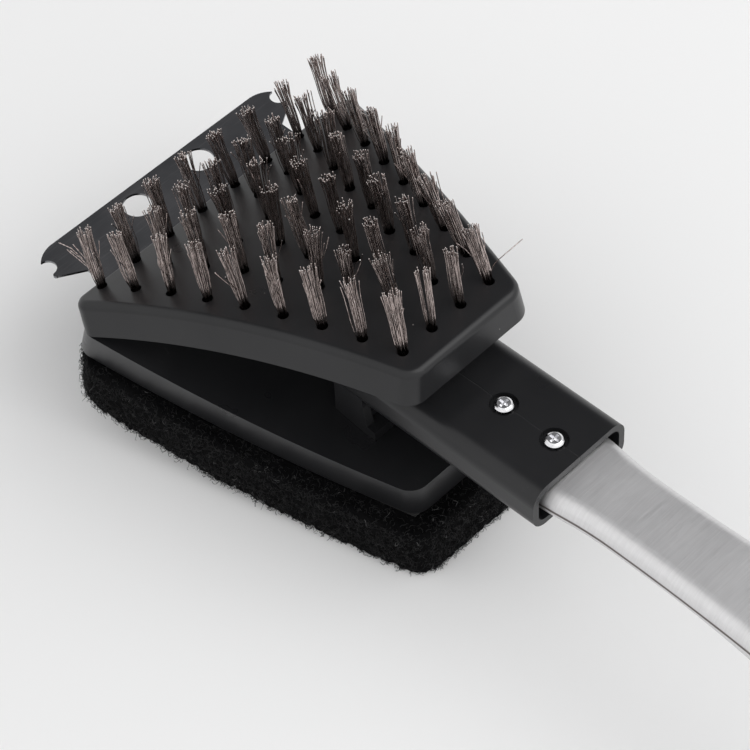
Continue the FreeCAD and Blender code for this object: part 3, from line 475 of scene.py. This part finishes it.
# ---------------------------------------------------------------- wire tufts

TUFT_ROWS = 9
WIRES_PER_TUFT = 32
TUFT_END = 0.1                    # share of a CAD tuft's length that is averaged at each end
WIRE_RADIUS = 0.15 * MM
WIRE_SIDES = 5
WIRE_JITTER = 0.35 * MM           # how far a wire's end strays from its place in the fan

# Shares of a wire's length at which its rings stand. The ring close to the end keeps the shading
# of the cut face off the wire's side.
WIRE_STATIONS = np.array([0.0, 0.2, 0.4, 0.6, 0.8, 0.985, 1.0])[:, None]
STRAY_STATIONS = np.array([0.0, 0.15, 0.3, 0.45, 0.6, 0.8, 0.985, 1.0])[:, None]

WIRE_BOW = 0.28 * MM
WIRE_WAVE = 0.25 * MM
TIP_SPREAD = 2.9 * MM
SPREAD_SCATTER = (0.85, 1.12)
ROOT_SPREAD = 1.35 * MM
BURIED_SHARE = 0.235              # share of the CAD tuft that sits inside its bore
ROOT_DEPTH = 1.2 * MM             # how far below the block's face the loose wires begin
HEIGHT_SHARE = 1.03               # the loose wires stand a little taller than the CAD tuft
HEIGHT_SCATTER = 0.014

# Stray wires. A swing is how far the wire bends out, in millimetres, and a height is a share of
# the tuft's. The near front tuft has splayed wires, and the far rear one has a long stray.
STRAY_KINK = 0.5 * MM
STRAY_BEND = 1.7
STRAY_DROOP = 0.12
STRAY_SWING = (2.5, 5.5)
STRAY_HEIGHT = (0.8, 1.0)
CORNER_SWINGS = (5.0, 6.5, 8.0, 9.0)
CORNER_HEIGHT = (0.7, 0.95)
CORNER_DIRECTION = np.array([-0.75, -0.55, -0.15])
CORNER_SCATTER = 0.12
LONG_STRAY_SWING = 14.0
LONG_STRAY_HEIGHT = 0.75
LONG_STRAY_DIRECTION = np.array([0.55, 0.85, 0.0])

# Leans are slopes: metres sideways for each metre of wire.
TUFT_LEAN = 0.04
NOSE_LEAN = np.array([-0.27, 0.0, 0.0])
NOSE_LEAN_POWER = 1.5
FAR_LEAN = np.array([0.0, 0.05, 0.0])
INWARD_LEAN = np.array([0.0, 0.09, 0.0])


def tuft_axis(points):
    """Root and tip centres of one tapered tuft solid."""
    centre = points.mean(axis=0)
    spread = points - centre
    values, vectors = np.linalg.eigh(spread.T @ spread)
    axis = vectors[:, np.argmax(values)]
    if axis[2] < 0:
        axis = -axis
    along = spread @ axis
    length = along.max() - along.min()
    end = TUFT_END * length
    low = points[along < along.min() + end].mean(axis=0)
    high = points[along > along.max() - end].mean(axis=0)
    return low, high


def wire_tube(path):
    """A wire of even thickness along a path."""
    return tube(path, np.full(len(path), WIRE_RADIUS), WIRE_SIDES)


def wire_path(rng, root, axis, side, front, height, spread):
    """One wire from its place in the bore to its place in the fan, with a slight bow and wave."""
    angle = rng.uniform(0, 2 * math.pi)
    ring = math.sqrt(rng.uniform(0, 1))
    out = math.cos(angle) * side + math.sin(angle) * front
    start = root + out * ring * ROOT_SPREAD
    jitter = rng.normal(0, 1, 2) * WIRE_JITTER
    end = root + axis * height + out * ring * spread + side * jitter[0] + front * jitter[1]
    bow = (side * rng.normal(0, 1) + front * rng.normal(0, 1)) * WIRE_BOW
    share = WIRE_STATIONS
    path = start + (end - start) * share + bow * np.sin(math.pi * share)
    return path + (out * ring * WIRE_WAVE) * np.sin(2 * math.pi * share)


def stray_path(rng, root, axis, direction, height, swing):
    """A loose wire that has bent away from its tuft."""
    share = STRAY_STATIONS
    lean = direction * swing
    path = root + axis * height * share * (1 - STRAY_DROOP * share) + lean * share ** STRAY_BEND
    kink = rng.normal(0, 1, 3) * STRAY_KINK
    return path + kink * np.sin(2 * math.pi * share)


def tuft_wires(rng, row, place, count, part):
    """The wires of one tuft, with its strays, as tubes."""
    low, high = tuft_axis(part)
    length = np.linalg.norm(high - low)
    normal = unit(high - low)
    buried = BURIED_SHARE * length
    back = (row - 1) / (TUFT_ROWS - 1)
    across = 2 * place / (count - 1) - 1
    lean = (NOSE_LEAN * back ** NOSE_LEAN_POWER + FAR_LEAN - INWARD_LEAN * across * back
            + rng.normal(0, TUFT_LEAN, 3) * [1, 1, 0])
    axis = unit(normal + lean)
    side = unit(np.cross(axis, [1.0, 0.0, 0.0]))
    front = np.cross(side, axis)
    root = low + normal * buried - normal * ROOT_DEPTH
    height = (length - buried + ROOT_DEPTH) * HEIGHT_SHARE
    spread = TIP_SPREAD * rng.uniform(*SPREAD_SCATTER)
    tubes = []
    for _ in range(WIRES_PER_TUFT):
        tall = height * (1 + rng.normal(0, HEIGHT_SCATTER))
        tubes.append(wire_tube(wire_path(rng, root, axis, side, front, tall, spread)))
    most_strays = 3 if place in (0, count - 1) else 2
    for _ in range(rng.integers(0, most_strays + 1)):
        turn = rng.uniform(0, 2 * math.pi)
        direction = math.cos(turn) * side + math.sin(turn) * front
        swing = rng.uniform(*STRAY_SWING) * MM
        tall = height * rng.uniform(*STRAY_HEIGHT)
        tubes.append(wire_tube(stray_path(rng, root, axis, direction, tall, swing)))
    if row == 1 and place == 0:
        for swing in CORNER_SWINGS:
            direction = unit(CORNER_DIRECTION + rng.normal(0, CORNER_SCATTER, 3))
            tall = height * rng.uniform(*CORNER_HEIGHT)
            tubes.append(wire_tube(stray_path(rng, root, axis, direction, tall, swing * MM)))
    if row == TUFT_ROWS and place == count - 1:
        direction = unit(LONG_STRAY_DIRECTION)
        tall = height * LONG_STRAY_HEIGHT
        swing = LONG_STRAY_SWING * MM
        tubes.append(wire_tube(stray_path(rng, root, axis, direction, tall, swing)))
    return tubes


def build_tufts(wire, cut):
    """Replace every tuft solid by its own bundle of wires, a row to an object."""
    rng = np.random.default_rng(SEED)
    for row in range(1, TUFT_ROWS + 1):
        name = f"tufts_row_{row}"
        tufts = sorted(loose_parts(name), key=lambda part: part[:, 1].mean())
        tubes = []
        for place, part in enumerate(tufts):
            tubes += tuft_wires(rng, row, place, len(tufts), part)
        points, faces = join_tubes(tubes)
        bundle = mesh_object(f"bristle_row_{row}", points, faces, wire)
        # The cut ends take the brighter material: a painted glint.
        bundle.data.materials.append(cut)
        for polygon in bundle.data.polygons:
            if len(polygon.vertices) == WIRE_SIDES:
                polygon.material_index = 1
                polygon.use_smooth = False
        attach(bundle, "root")
        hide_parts(name)


# ---------------------------------------------------------------- scouring pad

PAD_VOXEL = 1.3 * MM
PAD_SWELL = 0.6 * MM              # how far the core stands out past the plain pad
PAD_TOP_SINK = 1.1 * MM           # how far its top is drawn back under the holder
PAD_WAVES = ((14.0 * MM, 22), (3.0 * MM, 26))     # wavelength and number of plane waves
PAD_WAVE_HEIGHT = 0.12 * MM
PAD_ROUGHNESS = 0.2 * MM
FLOOR_GAP = 0.1 * MM
FIBRE_COUNT = 34000
FIBRE_RADIUS = 0.07 * MM
FIBRE_SIDES = 4
FIBRE_POINTS = 6
FIBRE_SCALE = (0.7, 1.25)
FIBRE_REACH = (0.9, 2.6)          # millimetres along the surface
FIBRE_LIFT = (0.4, 0.4)           # millimetres off the surface at mid-length: mean and spread
FIBRE_LOOSE = (0.2, 0.75)         # millimetres that the far end stands off: mean and spread
FIBRE_CURL = 0.5 * MM
FIBRE_ROOT_DEPTH = 0.15 * MM
FIBRE_WAVE = 0.25 * MM
FIBRE_SCATTER = 0.3 * MM
TOP_NORMAL = 0.75                 # a normal steeper than this belongs to the pad's top
TOP_FIBRE_SINK = 0.5 * MM
TOP_MARGIN = 0.3 * MM
PAINTED_GLINT_SHARE = 0.02                # share of the fibres coloured lighter as painted glints


def lumpy_core(material):
    """The pad's own form, remeshed finely and roughened like torn non-woven."""
    mesh = NODES["scouring_pad"].data.copy()
    mesh.name = "pad_core_painted_shade"
    core = bpy.data.objects.new("pad_core_painted_shade", mesh)
    bpy.context.scene.collection.objects.link(core)
    remesh = core.modifiers.new("fine", "REMESH")
    remesh.mode = "VOXEL"
    remesh.voxel_size = PAD_VOXEL
    graph = bpy.context.evaluated_depsgraph_get()
    fine = bpy.data.meshes.new_from_object(core.evaluated_get(graph))
    core.modifiers.clear()
    core.data = fine
    count = len(fine.vertices)
    points = np.zeros(count * 3)
    normals = np.zeros(count * 3)
    fine.vertices.foreach_get("co", points)
    fine.vertices.foreach_get("normal", normals)
    points = points.reshape(-1, 3)
    normals = normals.reshape(-1, 3)
    rng = np.random.default_rng(SEED + 1)
    waves = sum(wavy(points, rng, wavelength, terms) for wavelength, terms in PAD_WAVES)
    push = PAD_WAVE_HEIGHT * waves + rng.normal(0, PAD_ROUGHNESS, count) + PAD_SWELL
    facing_up = np.clip(normals[:, 2], 0.0, 1.0)
    points = points + normals * (push - PAD_TOP_SINK * facing_up)[:, None]
    points[:, 2] = np.maximum(points[:, 2], FLOOR_GAP)
    fine.vertices.foreach_set("co", points.ravel())
    fine.materials.clear()
    fine.materials.append(material)
    fine.polygons.foreach_set("use_smooth", [True] * len(fine.polygons))
    fine.update()
    return core


def wavy(points, rng, wavelength, terms):
    """Smooth random field from a sum of plane waves, about one in size."""
    total = np.zeros(len(points))
    for _ in range(terms):
        direction = unit(rng.normal(0, 1, 3))
        pitch = 2 * math.pi / (wavelength * rng.uniform(0.7, 1.5))
        total += np.sin(points @ direction * pitch + rng.uniform(0, 2 * math.pi))
    return total / math.sqrt(terms / 2)


def surface_samples(core, rng, count):
    """Random places on the pad, spread by area, with their normals."""
    mesh = core.data
    areas = np.array([polygon.area for polygon in mesh.polygons])
    picked = rng.choice(len(areas), size=count, p=areas / areas.sum())
    centres = np.array([mesh.polygons[int(index)].center[:] for index in picked])
    normals = np.array([mesh.polygons[int(index)].normal[:] for index in picked])
    return centres + rng.normal(0, FIBRE_SCATTER, (count, 3)), normals


def fibre_path(rng, start, normal):
    """A curly strand: it arcs over the surface and dives back, or ends loose in the air."""
    along = rng.normal(0, 1, 3)
    along = unit(along - normal * (along @ normal))
    across = np.cross(normal, along)
    reach = rng.uniform(*FIBRE_REACH) * MM
    curl = rng.normal(0, 1) * FIBRE_CURL
    lift = abs(rng.normal(*FIBRE_LIFT)) * MM
    loose = max(rng.normal(*FIBRE_LOOSE), 0.0) * MM
    share = np.linspace(0, 1, FIBRE_POINTS)[:, None]
    path = start + along * reach * share + across * curl * np.sin(math.pi * share)
    path = path + normal * (lift * np.sin(math.pi * share) + loose * share - FIBRE_ROOT_DEPTH)
    return path + across * FIBRE_WAVE * np.sin(2 * math.pi * share)


def build_pad(core_material, dark, light):
    """Replace the plain pad by a rough core under a coat of loose fibres, a few of them coloured lighter
    as painted glints.
    """
    # The core's darker colour is painted shade between the fibres.
    core = lumpy_core(core_material)
    rng = np.random.default_rng(SEED + 2)
    starts, normals = surface_samples(core, rng, FIBRE_COUNT)
    dark_tubes = []
    painted_glint_tubes = []
    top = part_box("scouring_pad")[1].z
    for start, normal in zip(starts, normals):
        if normal[2] > TOP_NORMAL:
            start = start - normal * TOP_FIBRE_SINK
        path = fibre_path(rng, start, normal)
        path[:, 2] = np.clip(path[:, 2], FLOOR_GAP, top + TOP_MARGIN)
        thick = FIBRE_RADIUS * rng.uniform(*FIBRE_SCALE)
        made = tube(path, np.full(len(path), thick), FIBRE_SIDES)
        # The few fibres that take the lighter material are painted glints.
        chosen = painted_glint_tubes if rng.uniform() < PAINTED_GLINT_SHARE else dark_tubes
        chosen.append(made)
    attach(core, "root")
    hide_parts("scouring_pad")
    for name, tubes, material in (("pad_fibres", dark_tubes, dark),
                                  ("pad_painted_glints", painted_glint_tubes, light)):
        points, faces = join_tubes(tubes)
        fibres = mesh_object(name, points, faces, material)
        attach(fibres, "root")


# ---------------------------------------------------------------- studio

CAMERA_PLACE = Vector((0.258662, -0.392527, 0.750543))
CAMERA_AZIMUTH = math.radians(44.070)
CAMERA_ELEVATION = math.radians(52.576)
CAMERA_LENS = 137.746
CAMERA_SENSOR = 36.0
STUDIO_CENTRE = Vector((0.0, 0.0, 0.05))
KEY_PLACE = Vector((0.58, 0.52, 1.25))
KEY_SIZE = 1.3
KEY_POWER = 7.6
FLOOR_HALF_SIZE = 3.0
WORLD_STRENGTH = 1.05
DARK_OPENING = Vector((-0.42, 0.44, 0.79))
OPENING_EDGES = (0.70, 0.87)      # cosines of the angle to the opening's centre, outer then inner
SURROUND_COLOUR = (1.0, 1.0, 1.0, 1.0)
OPENING_COLOUR = (0.17, 0.17, 0.175, 1.0)


def build_camera():
    """The camera, looking down on the brush from the right of its head."""
    lens = bpy.data.cameras.new("camera")
    lens.lens = CAMERA_LENS
    lens.sensor_width = CAMERA_SENSOR
    lens.clip_start = 0.01
    camera = bpy.data.objects.new("camera", lens)
    bpy.context.scene.collection.objects.link(camera)
    back = Vector((math.sin(CAMERA_AZIMUTH) * math.cos(CAMERA_ELEVATION),
                   -math.cos(CAMERA_AZIMUTH) * math.cos(CAMERA_ELEVATION),
                   math.sin(CAMERA_ELEVATION)))
    right = Vector((math.cos(CAMERA_AZIMUTH), math.sin(CAMERA_AZIMUTH), 0.0))
    up = back.cross(right)
    turn = Matrix((right, up, back)).transposed()
    camera.matrix_world = Matrix.Translation(CAMERA_PLACE) @ turn.to_4x4()
    bpy.context.scene.camera = camera


def build_key_light():
    """One large soft light high above the brush, on the right of the camera's view."""
    light = bpy.data.lights.new("key", "AREA")
    light.shape = "RECTANGLE"
    light.size = KEY_SIZE
    light.size_y = KEY_SIZE
    light.energy = KEY_POWER
    holder = bpy.data.objects.new("key", light)
    bpy.context.scene.collection.objects.link(holder)
    holder.location = KEY_PLACE
    aim = (STUDIO_CENTRE - KEY_PLACE).normalized()
    holder.rotation_mode = "QUATERNION"
    holder.rotation_quaternion = aim.to_track_quat("-Z", "Y")


def build_floor():
    """A pale matt floor under the brush."""
    material = Shader("studio_floor")
    material.set(Metallic=0.0, Roughness=0.9)
    cloud = material.noise(2.0, 2.0)
    material.colour(material.blend(cloud, *FLOOR_COLOURS))
    size = FLOOR_HALF_SIZE
    points = [(-size, -size, 0.0), (size, -size, 0.0), (size, size, 0.0), (-size, size, 0.0)]
    floor = mesh_object("studio_floor", points, [(0, 1, 2, 3)], material.material)


def build_world():
    """Pale surround with one dark opening high up on the far side, as in a light tent."""
    world = bpy.data.worlds.new("studio")
    world.use_nodes = True
    tree = world.node_tree
    background = tree.nodes["Background"]
    place = tree.nodes.new("ShaderNodeTexCoord")
    toward = tree.nodes.new("ShaderNodeVectorMath")
    toward.operation = "DOT_PRODUCT"
    toward.inputs[1].default_value = DARK_OPENING.normalized()
    ramp = tree.nodes.new("ShaderNodeValToRGB")
    tree.links.new(place.outputs["Generated"], toward.inputs[0])
    tree.links.new(toward.outputs["Value"], ramp.inputs["Fac"])
    tree.links.new(ramp.outputs["Color"], background.inputs["Color"])
    stops = zip(ramp.color_ramp.elements, OPENING_EDGES, (SURROUND_COLOUR, OPENING_COLOUR))
    for stop, edge, colour in stops:
        stop.position = edge
        stop.color = colour
    background.inputs["Strength"].default_value = WORLD_STRENGTH
    bpy.context.scene.world = world
    bpy.context.scene.view_settings.view_transform = "Standard"


# ---------------------------------------------------------------- build

PLASTIC_NODES = ("brush_block", "pad_holder")
HANDLE_NODES = ("handle_top_shell", "handle_bottom_shell", "hang_eyelet")
SCREW_NODES = ("nose_screws", "clamp_screws", "handle_screws")


def main():
    plastic = plastic_material("charcoal_plastic")
    for name in PLASTIC_NODES:
        dress(name, plastic)
    dress("handle_socket", plastic_material("socket_plastic", knit_line))
    steel = handle_material()
    for name in HANDLE_NODES:
        dress(name, steel)
    bright = screw_material()
    for name in SCREW_NODES:
        dress(name, bright)
    dress("scraper_blade", blade_material())
    dress("handle_plug", plain_material("natural_nylon", NYLON_COLOUR, 0.0, 0.5))
    dress("pad_bond", plain_material("bond_film", BOND_COLOUR, 0.0, 0.6))
    dress("tuft_anchors", plain_material("anchor_steel", ANCHOR_COLOUR, 1.0, 0.35))
    build_tufts(wire_material(), tip_glint_material())
    # The second fibre material is lighter: painted glints among the fibres.
    build_pad(pad_core_painted_shade_material(),
              pad_fibre_material("pad_fibre_dark", *DARK_FIBRE_COLOURS),
              pad_fibre_material("pad_fibre_painted_glint", *PAINTED_GLINT_FIBRE_COLOURS))
    build_floor()
    build_world()
    build_key_light()
    build_camera()


main()
